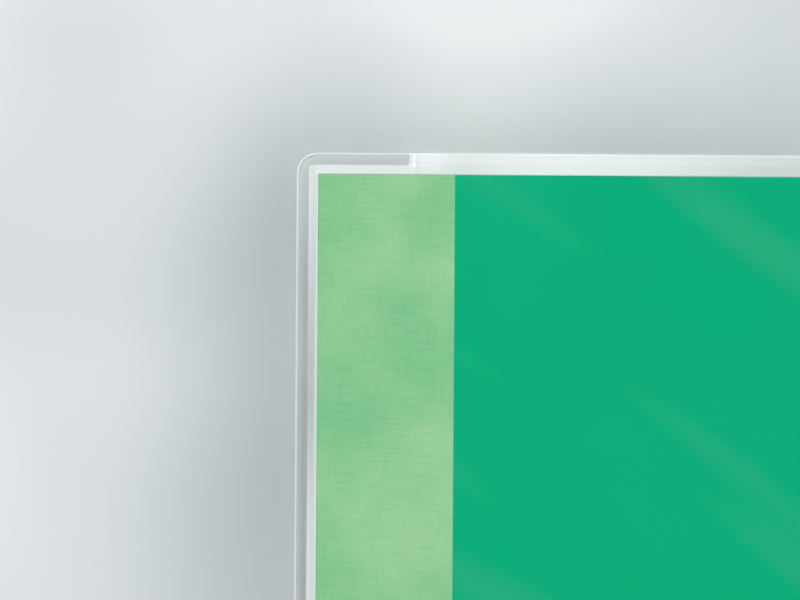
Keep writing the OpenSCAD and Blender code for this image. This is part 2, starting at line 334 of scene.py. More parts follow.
# Rayon book cloth, dyed light green: matte and softly patchy. Its threads are 0.3 mm apart on the real cloth
# and are drawn half as coarse again, so that they show
book_cloth = woven("rayon_book_cloth", "#6ABE84", "#9CD199", middle=0.31, pitch=0.45 * MM, weave=0.07,
                   slub=0.22, mottle=0.15, dye=0.5, relief=0.08 * MM, roughness=0.8)
# Black bookbinder's linen: a dull, coarse weave on the leaf hinges
hinge_linen = woven("black_hinge_linen", "#1B1B1D", "#3A3A3E", middle=0.5, pitch=0.5 * MM, weave=0.25,
                    slub=0.5, mottle=0.1, dye=0.1, relief=0.08 * MM, roughness=0.85)
# Unbleached cotton gauze: cream, with an open weave that shows every thread
gauze = woven("cotton_gauze", "#CFC8AE", "#F1EDDD", middle=0.5, pitch=0.9 * MM, weave=0.4, slub=0.3,
              mottle=0.1, dye=0.1, relief=0.15 * MM, roughness=0.9)
print("woven materials:", book_cloth.name, hinge_linen.name, gauze.name)

# %% [markdown]
# ## Papers and boards
# Paper is felted fibre. Close to, it has fibres a few tenths of a millimetre wide, and from a step away it
# has soft clouds where the sheet is thicker. Two noises at those sizes give both, with more or less
# contrast: the cover paper is calendered and even, the black card has a dull tooth, and the grey board
# shows flecks of its recycled stock.

# %% Paper materials
def felted(name, base, clouds, fibres, relief, roughness, specular=0.5):
    """Fibre paper: a large noise mixes the base colour towards the clouds, a fine one towards the fibres.

    Clouds and fibres are each given as a colour, a size and the share that they take at most.
    """
    noise_from, noise_to = 0.35, 0.75
    material, tree = blank(name)
    place = add(tree, "TexCoord", out="Object")
    colour = linear(base)
    for tone, size, share in (clouds, fibres):
        noise = add(tree, "TexNoise", {"Vector": place, "Scale": 1 / size, "Detail": 3.0})
        amount = add(tree, "MapRange", {0: noise, 1: noise_from, 2: noise_to, 3: 0.0, 4: share})
        colour = mix_colours(tree, amount, colour, linear(tone))
    bump = add(tree, "Bump", {"Height": noise, "Distance": relief, "Strength": 0.5})
    close(tree, {"Base Color": colour, "Normal": bump, "Roughness": roughness,
                 "Specular IOR Level": specular})
    return material


# Calendered cover paper: pressed smooth between rollers, so it is even and deep in colour
cover_paper = felted("calendered_cover_paper", "#04AE7A", ("#10B180", 40 * MM, 0.7),
                     ("#02A876", 0.5 * MM, 0.3), relief=0.01 * MM, roughness=0.65, specular=0.05)
# Cream endpaper: uncoated and soft, with faint clouds
endpaper = felted("cream_endpaper", "#E9E8DE", ("#DEDCCE", 30 * MM, 0.6), ("#F3F2EA", 0.4 * MM, 0.5),
                  relief=0.02 * MM, roughness=0.85)
# Black leaf card: dyed through, with a tooth of paler fibres
leaf_card = felted("black_leaf_card", "#1A1A1C", ("#232326", 25 * MM, 0.7), ("#34343A", 0.3 * MM, 0.5),
                   relief=0.03 * MM, roughness=0.75)
# Grey binder's board: recycled stock, flecked on its cut faces
grey_board = felted("grey_binders_board", "#97917F", ("#86806F", 18 * MM, 0.6), ("#B9B4A4", 0.7 * MM, 0.6),
                    relief=0.05 * MM, roughness=0.9)
print("paper materials:", cover_paper.name, endpaper.name, leaf_card.name, grey_board.name)

# %% [markdown]
# ## Clear sheets
# The jacket is a plasticised film. Flat on the board it can hardly be seen, and where it stands out past the
# board, at a weld or at a cut edge, it turns pale. Real refraction through two faces of a thin sheet would
# leave everything under it dark and grainy, so the film is a pale shader with little opacity, and the
# attribute called haze says how much it shows at each point. Long soft streaks are added to the haze: partly
# wear on the sheet and partly painted sheen, light reflected off it.

# %% Clear materials
def clear_sheet(name, tint, streak_long, streak_wide, streak_share, roughness):
    """Pale sheet whose opacity is the attribute haze plus streaks of wear and painted sheen, a noise drawn
    out along a slant.
    """
    streak_turn, streak_from, streak_to = np.radians(-35), 0.52, 0.8
    film_ior = 1.53
    material, tree = blank(name)
    haze = add(tree, "Attribute", out="Fac", attribute_name="haze")
    place = add(tree, "TexCoord", out="Object")
    turned = add(tree, "Mapping", {"Vector": place, "Rotation": (0, 0, streak_turn),
                                   "Scale": (streak_long, streak_wide, 1)}, vector_type="TEXTURE")
    noise = add(tree, "TexNoise", {"Vector": turned, "Scale": 1.0, "Detail": 1.0})
    # Streaks: partly wear, partly painted sheen
    wear_and_sheen = add(tree, "MapRange", {0: noise, 1: streak_from, 2: streak_to, 3: 0.0, 4: streak_share})
    alpha = add(tree, "Math", {0: haze, 1: wear_and_sheen}, operation="ADD", use_clamp=True)
    close(tree, {"Base Color": linear(tint), "Roughness": roughness, "IOR": film_ior, "Alpha": alpha})
    return material


# Plasticised film, rolled soft: clear, with a low gloss and wide faint streaks of wear and painted sheen
jacket_film = clear_sheet("plasticised_jacket_film", "#FAFEFE", 160 * MM, 24 * MM, 0.025, 0.35)
# Polyester strip film: crisp and glossy
strip_film = clear_sheet("polyester_strip_film", "#EEF2F4", 90 * MM, 12 * MM, 0.05, 0.15)
# Glassine: paper beaten until light comes through it, with a waxy bloom
glassine = clear_sheet("glassine_paper", "#ECEDE4", 40 * MM, 15 * MM, 0.12, 0.4)
print("clear materials:", jacket_film.name, strip_film.name, glassine.name)

# %% [markdown]
# ## Silk and thread
# A headband is a core wound with two colours of silk, and the sewing thread is two plies twisted together.
# The silk's colours follow an attribute that changes every few turns. The thread's plies are slanting bands
# along its run.

# %% Thread materials
# Headband silk: green and cream turns with a soft lustre
headband_silk, silk_tree = blank("headband_silk")
turns = add(silk_tree, "Attribute", out="Fac", attribute_name="stripe")
silk_colour = mix_colours(silk_tree, turns, linear("#3C9A6A"), linear("#EFEBDD"))
close(silk_tree, {"Base Color": silk_colour, "Roughness": 0.4, "Sheen Weight": 0.4})

# Waxed linen thread: cream, with a shadow between its two plies
ply_pitch, ply_relief, ply_slant = 1.2 * MM, 0.1 * MM, (1.4, 1.0, 1.0)
sewing_thread, thread_tree = blank("waxed_linen_thread")
thread_place = add(thread_tree, "TexCoord", out="Object")
slant = add(thread_tree, "VectorMath", {0: thread_place, 1: ply_slant}, out="Value", operation="DOT_PRODUCT")
ply_phase = add(thread_tree, "Math", {0: slant, 1: 2 * np.pi / ply_pitch}, operation="MULTIPLY")
plies = add(thread_tree, "Math", {0: ply_phase}, operation="SINE")
ply_share = add(thread_tree, "MapRange", {0: plies, 1: -1.0, 2: 1.0})
thread_colour = mix_colours(thread_tree, ply_share, linear("#C9C2AC"), linear("#F2EEE2"))
thread_bump = add(thread_tree, "Bump", {"Height": ply_share, "Distance": ply_relief})
close(thread_tree, {"Base Color": thread_colour, "Roughness": 0.6, "Normal": thread_bump})
print("thread materials:", headband_silk.name, sewing_thread.name)

# %% [markdown]
# ## Camera
# The photo looks straight down on the head corner of the fore-edge. One pixel is 0.2225 mm on the cover,
# and the jacket's corner lies at a known pixel, which fixes the middle of the view. A long lens keeps the
# board's edges from leaning. The photo was taken a little askew, so the camera is rolled by a third of a
# degree or so.

# %% Place the camera
IMAGE_W, IMAGE_H = 800, 600
PIXEL = 0.2225 * MM
CORNER_PIXEL = (296.0, 153.0)
photo_roll = np.radians(0.38)
camera_distance = 3.2
lens_data = bpy.data.cameras.new("camera")
lens_data.sensor_width = 36
lens_data.lens = lens_data.sensor_width * camera_distance / (IMAGE_W * PIXEL)
camera = bpy.data.objects.new("camera", lens_data)
bpy.context.scene.collection.objects.link(camera)
camera.location = (jacket_x + (IMAGE_W / 2 - CORNER_PIXEL[0]) * PIXEL,
                   jacket_y - (IMAGE_H / 2 - CORNER_PIXEL[1]) * PIXEL, album_t + camera_distance)
camera.rotation_euler = (0, 0, photo_roll)
bpy.context.scene.camera = camera
print(f"camera lens {lens_data.lens:.0f} mm at {tuple(round(c, 4) for c in camera.location)}")

# %% [markdown]
# ## Covered edges
# Cloth and paper wrap a board's edge with a flat side and two small rounds. A superellipse of power four
# has that section, and the same section is used on every edge, so that cloth and paper meet without a step.
# The sheets are a little thinner than the solids they stand for, so that they stay clear of the board.

# %% The section of a covered edge
edge_round = 0.6 * MM
turn_in = 12.4 * MM
covering_wall = 0.8 * covering_t
edge_across, edge_out = oval(np.linspace(0, np.pi, 25), 4)
edge_girth = turn_depth - film_t + 2 * edge_round
print(f"edge section of {len(edge_out)} points, {edge_girth / MM:.1f} mm round")

# %% [markdown]
# ## Cloth along the fore-edge
# The light band is cut from one piece of cloth, glued to the board and turned in over three edges, with
# mitred corners inside. A profile carried along the three edges makes it: the profile comes in over the
# face, goes round the edge and ends on the turn-in, and the path is drawn in by the profile's inset, so the
# corners mitre by themselves.

# %% Fore-edge cloth
corner_round = 0.4 * MM


def three_edges(inset):
    """Tail edge, corner, fore-edge, corner and head edge, drawn in by each inset: one row for each inset.

    A corner is a quarter circle whose radius shrinks with the inset, down to a sharp mitre.
    """
    inset = inset[:, None]
    turn = np.linspace(0, np.pi / 2, 7)[1:]
    arm = np.linspace(0, 1, 13)
    along = np.linspace(-1, 1, 41)[1:]
    radius = np.maximum(corner_round - inset, 0)
    middle_x = covered_x + inset + radius
    middle_y = covered_y - inset - radius
    arm_x = mix(band_x, middle_x, arm)
    arm_y = middle_y + radius + 0 * arm
    turn_x = middle_x - radius * np.sin(turn)
    turn_y = middle_y + radius * np.cos(turn)
    last = turn_x[:, -1:]
    x = np.hstack([arm_x, turn_x, last + 0 * along, turn_x[:, -2::-1], middle_x, arm_x[:, -2::-1]])
    y = np.hstack([-arm_y, -turn_y, middle_y * along, turn_y[:, -2::-1], arm_y[:, -1:], arm_y[:, -2::-1]])
    return x, y


def fore_edge_cloth(upper):
    """Grid of the band: the inset shrinks over the face, is small on the edge and grows on the turn-in."""
    near_edge = 3 * MM
    face_stops = [band_x - covered_x, turn_in, near_edge, 1.2 * edge_round, edge_round]
    face = spread(face_stops, [4, 4, 3, 1])[:-1]
    inside = np.linspace(edge_round, turn_in, 6)[1:]
    inset = np.concatenate([face, edge_round * (1 - edge_out), inside])
    middle, half = (film_t + turn_depth) / 2, (turn_depth - film_t) / 2
    depth = np.concatenate([0 * face + film_t, middle - half * edge_across, 0 * inside + turn_depth])
    x, y = three_edges(inset)
    thread_x, thread_y = three_edges(inset[0] - run_length(inset, depth))
    threads = points_of(thread_x, thread_y, 0)
    points = placed(x, y, depth[:, None], upper)
    name = side(upper)
    piece = surface(f"{name}_fore_edge_band", [points], not upper, threads=[threads])
    dress(piece, book_cloth, covering_wall)
    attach(piece, f"{name}_cover")
    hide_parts(f"{name}_fore_edge_cloth")


for is_upper in (False, True):
    fore_edge_cloth(is_upper)

# %% [markdown]
# ## Paper sides and spine cloth
# The deep-green paper wraps the board at head and tail only. So does the spine cloth, which laps the board,
# drops into the joint and goes round the spine. Both are one kind of surface: an outer line and an inner
# line seen from the end, joined over the head and tail by the edge section. The spine cloth is made in two
# halves, one for each joint.

# %% Wrapped coverings
def wrapped(outer, inner):
    """Grid from two lines of (x, depth) points: inner turn-in, edge, outer face, edge and inner turn-in.

    An edge's points lie between the lines by the section's share across, and past the face by its share out.
    """
    face_y = covered_y - edge_round
    turned = np.linspace(covered_y - turn_in, face_y, 5)[:-1]
    flat = np.linspace(-face_y, face_y, 45)[1:-1]
    beyond = face_y + edge_round * edge_out
    y = np.concatenate([-turned, -beyond[::-1], flat, beyond, turned[::-1]])
    inside = np.full(len(turned), -1.0)
    across = np.concatenate([inside, edge_across[::-1], np.ones(len(flat)), edge_across, inside])
    share = (1 + across) / 2
    line = mix(inner[:, None], outer[:, None], share[:, None])
    unrolled = run_length(y, edge_girth / 2 * across)
    along = run_length(*outer.T)
    threads = points_of(along[:, None], unrolled, 0)
    return line[..., 0], y, line[..., 1], threads


def paper_side(upper):
    """The paper between the cloth band and the spine cloth: straight lines on both faces of the board."""
    x = np.linspace(band_x, lap_x, 15)
    px, py, depth = wrapped(points_of(x, film_t), points_of(x, turn_depth))[:3]
    name = side(upper)
    piece = surface(f"{name}_green_paper", [placed(px, py, depth, upper)], upper)
    dress(piece, cover_paper, covering_wall)
    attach(piece, f"{name}_cover")
    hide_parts(f"{name}_paper_side")


spine_low, spine_high = corners("spine_cloth")
spine_wall, fold_wall = 0.3 * covering_t, 0.9 * covering_t
groove_depth = axis_depth - covering_t / 2
# Quarter circle of radius 1 that starts level: the way along it and the way up
quarter = np.linspace(0, np.pi / 2, 9)
quarter_on, quarter_up = np.sin(quarter), 1 - np.cos(quarter)


def spine_half(upper):
    """Half of the spine cloth: over the lap, round the hinge edge, along the groove and round to mid-spine.

    Each round is a quarter circle: outwards at the hinge edge, inwards at the groove's foot, outwards again.
    """
    edge, foot = 0.5 * MM, 0.3 * MM
    wall_x = hinge_x + covering_t
    spine_x = spine_high[0]
    roll = spine_x - axis_x
    lap = lap_x + np.array([0, 5, 10]) * MM
    groove = np.linspace(wall_x + foot, axis_x, 9)[1:-1]
    rise = np.linspace(groove_depth + roll, album_t / 2, 6)[1:]
    x = np.concatenate([lap, wall_x - edge + edge * quarter_on, wall_x + foot * quarter_up, groove,
                        axis_x + roll * quarter_on, 0 * rise + spine_x])
    depth = np.concatenate([0 * lap + film_t, film_t + edge * quarter_up,
                            groove_depth - foot + foot * quarter_on, 0 * groove + groove_depth,
                            groove_depth + roll * quarter_up, rise])
    past_board = x > wall_x + foot / 2
    spine_share = np.where(depth > groove_depth, smooth(axis_x, axis_x + roll, x), 0)
    inner_x = np.where(past_board, mix(x, spine_low[0], spine_share), np.minimum(x, hinge_x))
    inner_depth = np.where(past_board, np.maximum(groove_depth + fold_wall, depth), turn_depth)
    px, py, pd, threads = wrapped(points_of(x, depth), points_of(inner_x, inner_depth))
    name = side(upper)
    piece = surface(f"spine_cloth_{name}_half", [placed(px, py, pd, upper)], upper, threads=[threads])
    dress(piece, book_cloth, spine_wall)
    bend_to_spine(piece)
    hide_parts(f"{name}_joint_cloth", "spine_cloth")


for is_upper in (False, True):
    paper_side(is_upper)
    spine_half(is_upper)

# %% [markdown]
# ## The jacket's film
# One sheet of film goes round the case. Past the board it slopes down to a seam that is welded to an inner
# flap. The seam stops a short way along head and tail in a rounded end, and beyond it the sheet's margin
# comes up to lie loose and flat, with a slight ripple. The grid is a plain one over the cover and its
# margin, and its depth is a ramp of the distance past the board. The corners are superellipses, nearly
# square at the foot of the slope and quarter circles at the rim. At the spine the sheet folds through a
# quarter circle.

# %% Lines and slopes of the film
slope_w = margin - weld_w
slope_drop = weld_depth - film_t
film_wall = 0.9 * film_t
bend_w, rim_w = 0.3 * MM, 0.45 * MM
end_r = weld_w / 2
past_stops = [0, bend_w, slope_w - bend_w, slope_w, margin - 1.3 * rim_w, margin]
past_edge = spread(past_stops, [3, 5, 3, 6, 5])[1:]
margin_y = covered_y + past_edge
fine_w = 2 * MM
inside_y = spread([-covered_y, -covered_y + fine_w, covered_y - fine_w, covered_y], [4, 44, 4])
film_y = np.concatenate([-margin_y[::-1], inside_y, margin_y])
fore_lines = covered_x - past_edge[::-1]
weld_stops = [covered_x, covered_x + fine_w, weld_end_x - 1.2 * end_r, weld_end_x + bend_w]
to_weld_end = spread(weld_stops, [4, 5, 12])
free_lines = [flap_x - 1.2 * rim_w, flap_x - 0.6 * rim_w, flap_x]
lift_from, lift_to = weld_end_x - 0.4 * MM, flap_x + 9 * MM


def corner_power(past):
    """Power of the corner's superellipse: 6 up to the foot of the slope, falling to 2 at the rim."""
    return 6 - 4 * smooth(slope_w, margin, past)


def over_edge(x, y):
    """Rounds the margin's square corners and returns x, y and the distance s past the board.

    s is the larger of the two overhangs, and both shrink by s over their norm of the corner's power.
    """
    x, y = np.broadcast_arrays(x[:, None], y)
    out_x = np.maximum(covered_x - x, 0)
    out_y = np.maximum(np.abs(y) - covered_y, 0)
    past = np.maximum(out_x, out_y)
    power = corner_power(past)
    norm = (out_x**power + out_y**power) ** (1 / power)
    shrink = np.where(norm > 0, past / np.maximum(norm, 1e-9), 1)
    return x + out_x * (1 - shrink), y - np.sign(y) * out_y * (1 - shrink), past


def ramp(past):
    """Share of the slope at a distance past the board: half straight line and half eased line."""
    t = np.clip(past / slope_w, 0, 1)
    return (t + smooth(0, 1, t)) / 2


print(f"film slope {slope_w / MM:.1f} mm wide and {slope_drop / MM:.1f} mm deep, {len(film_y)} lines across")

# %% [markdown]
# ## How pale the film looks
# The haze follows the photo: white on the cut rim and on the flap's edge, pale on the slopes and the loose
# margin, grey on the seam. Part of it is painted light: a painted highlight in one long patch on the loose
# margin beyond the flap, painted reflection in the loose margin's paleness, a painted highlight on the rim
# round the corner, painted light on the seam and its rim near the head corner that fades down the fore-edge,
# painted shade on the slope's mitre, and painted light over the shaded gap at the fore-edge's board edge.
# Along the fore-edge the slope's haze dips and rises by turns. All of it is a formula of the place on the
# film, from 0 for clear film to 1 for white.

# %% Haze of the film
head_slope, fore_slope, slope_gain, slope_dip_share, painted_mitre_shade = 0.37, 0.2, 0.16, 0.75, 0.3
seam_grey, seam_painted_light = 0.21, 0.11
loose_film, loose_near_weld, outer_film, outer_near_weld = 0.18, 0.18, 0.08, 0.1
welded_rim, painted_corner_highlight, rim_painted_light, loose_rim = 0.55, 0.38, 0.16, 0.14
painted_highlight_haze, flap_line = 0.3, 0.95
slope_dip_pitch, painted_light_run, line_w = 90 * MM, 30 * MM, 0.6 * MM
# The fore-edge's film turns pale closer to the board's edge: painted light over the shaded gap between film
# and board
fore_pale_w, head_pale_w = 0.1 * MM, 0.3 * MM
rim_from, rim_to = margin - 1.25 * rim_w, margin - 0.75 * rim_w
# Distances beyond the flap's edge: where the painted highlight comes and goes, its shift at the tail, the
# weld's reach
painted_highlight_start, painted_highlight_end, painted_highlight_shift = (14 * MM, 24 * MM), (85 * MM, 45 * MM), 45 * MM
weld_reach = (70 * MM, 30 * MM)


def weld_share(x, past):
    """1 on the seam and 0 beyond its end, half a superellipse of power four that is as wide as the seam."""
    soft = 0.15 * MM
    aside = np.minimum(np.abs(past - margin + end_r) / end_r, 0.9)
    end_x = weld_end_x - end_r + end_r * (1 - aside**4) ** 0.25
    return 1 - smooth(end_x - soft, end_x + soft, x)


def haze_of(past, welded, flat, sloped, seam, loose, rim, pale_w):
    """Opacity of the film: flat on the board, sloped, seam or loose past it, and rim at the cut edge.

    pale_w is the distance past the board over which the film turns pale.
    """
    on_seam = smooth(slope_w - bend_w, slope_w, past)
    outside = mix(loose, mix(sloped, seam, on_seam), welded)
    haze = mix(flat, outside, smooth(0, 1, past / pale_w))
    return mix(haze, rim, smooth(rim_from, rim_to, past))


def sheet_haze(px, py, past):
    """Haze of the outer film: eased steps between the named levels, along the film and past the board."""
    welded = weld_share(px, past)
    at_fore_edge = smooth(covered_x, covered_x - slope_w / 2, px)
    down = np.maximum(covered_y - np.abs(py), 0)
    # Painted light near the head corner: it fades over a run down the fore-edge, taking paleness off the
    # seam and its rim
    painted_light_faded = at_fore_edge * smooth(0, painted_light_run, down)
    # The fore-edge slope's haze dips and rises by turns along the edge
    slope_dip = 0.5 - 0.5 * np.cos(2 * np.pi * down / slope_dip_pitch)
    corner_out = np.minimum(covered_x - px, np.abs(py) - covered_y)
    on_fore_edge = (fore_slope + slope_gain * past / slope_w) * (1 - slope_dip_share * slope_dip)
    sloped = mix(head_slope, on_fore_edge, at_fore_edge)
    # Painted shade on the slope's mitre tones down the highlight where the corner faces the lamp
    sloped = sloped * (1 - painted_mitre_shade * smooth(0, slope_w / 2, corner_out))
    along = px - flap_x - np.where(py > 0, 0, painted_highlight_shift)
    painted_highlight = smooth(*painted_highlight_start, along) * smooth(*painted_highlight_end, along)
    near_weld = smooth(*weld_reach, px - flap_x)
    # The loose margin's paleness, stronger towards its cut edge and within the weld's reach, is partly the
    # film's own haze and partly painted reflection
    outer = smooth(0.35 * margin, 0.65 * margin, past)
    loose = loose_film + loose_near_weld * near_weld + (outer_film + outer_near_weld * near_weld) * outer
    # Painted highlight: light caught in one long patch on the loose margin beyond the flap
    loose = loose + painted_highlight_haze * painted_highlight
    # The seam's rim has a painted highlight round the corner
    seam_rim = welded_rim + painted_corner_highlight * smooth(0, slope_w, corner_out) - rim_painted_light * painted_light_faded
    rim = mix(loose + loose_rim, seam_rim, welded)
    haze = haze_of(past, welded, flat=0.0, sloped=sloped, seam=seam_grey - seam_painted_light * painted_light_faded, loose=loose,
                   rim=rim, pale_w=np.where(px < covered_x, fore_pale_w, head_pale_w))
    on_line = smooth(flap_x - line_w, flap_x - line_w / 2, px) * smooth(flap_x + line_w / 2, flap_x, px)
    return np.maximum(haze, flap_line * on_line * smooth(0.3 * margin, 0.45 * margin, past))


def flap_haze(px, past):
    """Haze of the inner flap: fainter than the sheet, with a bright free edge that dims past the board."""
    edge_on_board, edge_past_board = 0.85, 0.4
    welded = weld_share(px, past)
    haze = haze_of(past, welded, flat=0.03, sloped=0.2, seam=0.05, loose=0.25, rim=0.5 - 0.4 * welded,
                   pale_w=head_pale_w)
    free_edge = mix(edge_on_board, edge_past_board, smooth(0, bend_w, past))
    return mix(haze, free_edge, smooth(*free_lines[:2], px))


print(f"haze {seam_grey} on the seam, {head_slope} on the head's slope, {flap_line} on the flap's edge")

# %% [markdown]
# ## Sheet and flap
# The outer sheet of each cover reaches round to the middle of the spine, so two sheets meet there, and each
# bends at its own fold. The inner flap is the sheet's mirror image about the weld, out to its own free
# edge, and only its middle lies against the board.

# %% Film of the jacket
def jacket_sheet(upper):
    """Grid of a cover's outer film and half the spine: fore-edge margin, board, quarter fold, half spine."""
    ripple_h, ripple_pitch, settle_run, fine_run = 0.12 * MM, 37 * MM, 25 * MM, 12 * MM
    past_weld = [to_weld_end[-1], flap_x - line_w, flap_x + line_w, flap_x + fine_run, axis_x]
    flat_x = np.concatenate([fore_lines, to_weld_end, spread(past_weld, [1, 6, 12, 16])[1:]])
    rise = np.linspace(axis_depth, album_t / 2, 5)[1:]
    x = np.concatenate([flat_x, axis_x + axis_depth * quarter_on[1:], axis_x + axis_depth + 0 * rise])
    depth = np.concatenate([0 * flat_x, axis_depth * quarter_up[1:], rise])
    px, py, past = over_edge(x, film_y)
    held = 1 - smooth(lift_from, lift_to, px)
    settled = (1 - held) * smooth(axis_x, axis_x - settle_run, px)
    ripple = ripple_h * np.sin(2 * np.pi * px / ripple_pitch) * (past / margin) * settled
    pd = depth[:, None] + slope_drop * ramp(past) * held + np.maximum(ripple, 0)
    name = side(upper)
    haze = sheet_haze(px, py, past)
    piece = surface(f"jacket_{name}_film", [placed(px, py, pd, upper)], upper, haze=[haze])
    dress(piece, jacket_film, film_wall)
    bend_to_spine(piece)
    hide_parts(f"jacket_{name}_sheet", f"jacket_{name}_fold", "jacket_spine_sheet")


def jacket_flap(upper):
    """Grid of the inner flap: the sheet's ramp turned over, a little less steep towards the free edge."""
    flap_give = 0.25
    px, py, past = over_edge(np.concatenate([fore_lines, to_weld_end, free_lines]), film_y)
    held = 1 - flap_give * smooth(lift_from, flap_x, px)
    pd = cover_t - slope_drop * ramp(past) * held
    name = side(upper)
    haze = flap_haze(px, past)
    piece = surface(f"jacket_{name}_inner_flap", [placed(px, py, pd, upper)], not upper, haze=[haze])
    dress(piece, jacket_film, film_wall)
    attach(piece, f"{name}_cover")
    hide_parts(f"jacket_{name}_flap")


for is_upper in (False, True):
    jacket_sheet(is_upper)
    jacket_flap(is_upper)

# %% [markdown]
# ## The welded seam
# Hot tools press the two films into one and trim them, which leaves a bead of melted film at the outer edge
# and a fine ridge where the tool stopped. Both are one closed tube that follows the outline of the seam and
# its rounded ends, thick on the outer run and thin on the inner one, with a little unevenness from the
# melt. The bead is a half round, flat where it joins the films.

# %% Welded seam
def seam_run(past, end_x):
    """Line at a distance past the board: tail arm, superellipse corner, fore-edge, corner and head arm."""
    out_y, out_x = past * oval(np.linspace(0, np.pi / 2, 17), corner_power(past))
    arm = np.linspace(end_x, covered_x, 22)[:-1]
    tail_x = np.concatenate([arm, covered_x - out_x])
    tail = points_of(tail_x, -covered_y - np.concatenate([0 * arm + past, out_y]))
    fore = points_of(covered_x - past, np.linspace(-covered_y, covered_y, 151)[1:-1])
    return np.concatenate([tail, fore, tail[::-1] * (1, -1)])


def uneven(travel, short, long):
    """Irregular swell between -1 and 1 along a run: sin(travel / short) times sin(travel / long)."""
    return np.sin(travel / short) * np.sin(travel / long)


def welded_seam(upper):
    """Tube round the seam's outline: centre line plus radius times (cos a in the plane, sin a upwards).

    On the bead a cosine below 0 counts as 0, and the seam's end is half a superellipse of power four.
    """
    bead, ridge = 0.26 * MM, 0.1 * MM
    bead_haze, melt_haze, ridge_haze, swell = 0.25, 0.1, 0.2, 0.12
    outer_past, inner_past = margin - bead, slope_w + ridge
    half_w = (outer_past - inner_past) / 2
    end_aside, end_out = oval(np.linspace(0, np.pi, 11)[1:-1], 4)
    end_x, end_y = weld_end_x - half_w, covered_y + inner_past + half_w
    end = points_of(end_x + half_w * end_out, end_y + half_w * end_aside)
    outer, inner = seam_run(outer_past, end_x), seam_run(inner_past, end_x)
    line = np.concatenate([outer, end, inner[::-1], end[::-1] * (1, -1)])
    on_bead = np.arange(len(line)) < len(outer)
    travel = run_length(*line.T)
    radius = np.where(on_bead, bead, ridge) * (1 + swell * uneven(travel, 2.3 * MM, 7.1 * MM))
    ahead = np.roll(line, -1, axis=0) - np.roll(line, 1, axis=0)
    ahead = ahead / np.maximum(np.hypot(*ahead.T), 1e-9)[:, None]
    angle = np.linspace(0, 2 * np.pi, 10, endpoint=False)
    across = np.where(on_bead[:, None], np.maximum(np.cos(angle), 0), np.cos(angle))
    swing = radius[:, None] * across
    x = line[:, :1] - ahead[:, 1:] * swing
    y = line[:, 1:] + ahead[:, :1] * swing
    depth = weld_depth + radius[:, None] * np.sin(angle)
    melted = bead_haze + melt_haze * uneven(travel, 3.1 * MM, 8.3 * MM)
    haze = np.where(on_bead, melted, ridge_haze)[:, None] + 0 * swing
    points = placed(x, y, depth, upper)
    name = side(upper)
    piece = surface(f"jacket_{name}_seam", [points], upper, ring=True, loop=True, haze=[haze])
    dress(piece, jacket_film)
    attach(piece, f"{name}_cover")
    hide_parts(f"jacket_{name}_weld")


for is_upper in (False, True):
    welded_seam(is_upper)

# %% [markdown]
# ## Leaves and their hinges
# A leaf is stiff black card, so its solid stays and takes the card's material. Its hinge is linen that is
# glued to the card and sewn into the back, and the glassine and the loose endpaper bend at the back in the
# same way. Each of those is one flat grid whose lines are close together along the hinge, between the block
# and the leaf.

# %% Bending sheets
leaf_axis_x = pivot["leaf_1_turn"][0]
card_x = corners("leaf_1_card")[1][0]
caught = leaf_axis_x + 1.2 * MM
leaf_count = sum(name.startswith("leaf_") for name in frame["bodies"])


def bending_sheet(name, node, body, material, haze=0.0, also=()):
    """Flat grid from a solid's free edge into the guards: middle level plus a ripple, sin x times cos y."""
    ripple_h, ripple_x, ripple_y, step = 0.02 * MM, 11 * MM, 17 * MM, 8 * MM
    low, high = corners(node)
    z = (low[2] + high[2]) / 2
    page_steps = max(2, round((card_x - low[0]) / step))
    x = spread([low[0], card_x, leaf_axis_x, caught], [page_steps, 24, 1])[:, None]
    y = np.linspace(-high[1], high[1], 41)
    height = z + ripple_h * np.sin(x / ripple_x) * np.cos(y / ripple_y)
    grid, threads = points_of(x, y, height), points_of(x, y, 0)
    piece = surface(name, [grid], True, threads=[threads], haze=[0 * height + haze])
    dress(piece, material, high[2] - low[2], 0.0)
    if body == "lower_cover":
        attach(piece, body)
    else:
        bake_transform(piece)
    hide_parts(node, *also)


for k in range(1, leaf_count + 1):
    bending_sheet(f"leaf_{k}_hinge", f"leaf_{k}_linen", f"leaf_{k}", hinge_linen)
for k in range(1, leaf_count):
    bending_sheet(f"interleaf_{k}_sheet", f"interleaf_{k}", f"interleaf_{k}", glassine, haze=0.5)
bending_sheet("upper_loose_endpaper", "upper_flyleaf", "endpaper", endpaper, also=["sheet_tabs"])
bending_sheet("lower_loose_endpaper", "lower_flyleaf", "lower_cover", endpaper)

# %% [markdown]
# ## Clear strips
# Each page has strips of clear film, glued along their lower edge, that hold the stamps. They are nearly
# invisible on the card apart from the glue line, the cut upper edge and a soft gloss. All the strips of a
# leaf are one mesh of separate small grids, and the haze is high on the two edges.

# %% Strips on the leaves
strip_count = 6
strip_gap = 4 * MM
strip_wall, strip_lift = 0.08 * MM, 0.03 * MM
strip_low, strip_high = corners("leaf_1_strips")
strip_pitch = (strip_high[1] - strip_low[1] + strip_gap) / strip_count
# Lines up a strip, as shares of its height, and the haze on each: glue line, clear middle and cut edge
strip_rise = np.array([0, 0.4, 1.6, 2.0, 6.0, 16.0, 28.0, 30.0, 30.4]) / 30.4
strip_haze = np.array([0.3, 0.3, 0.3, 0.1, 0.07, 0.07, 0.07, 0.1, 0.45])


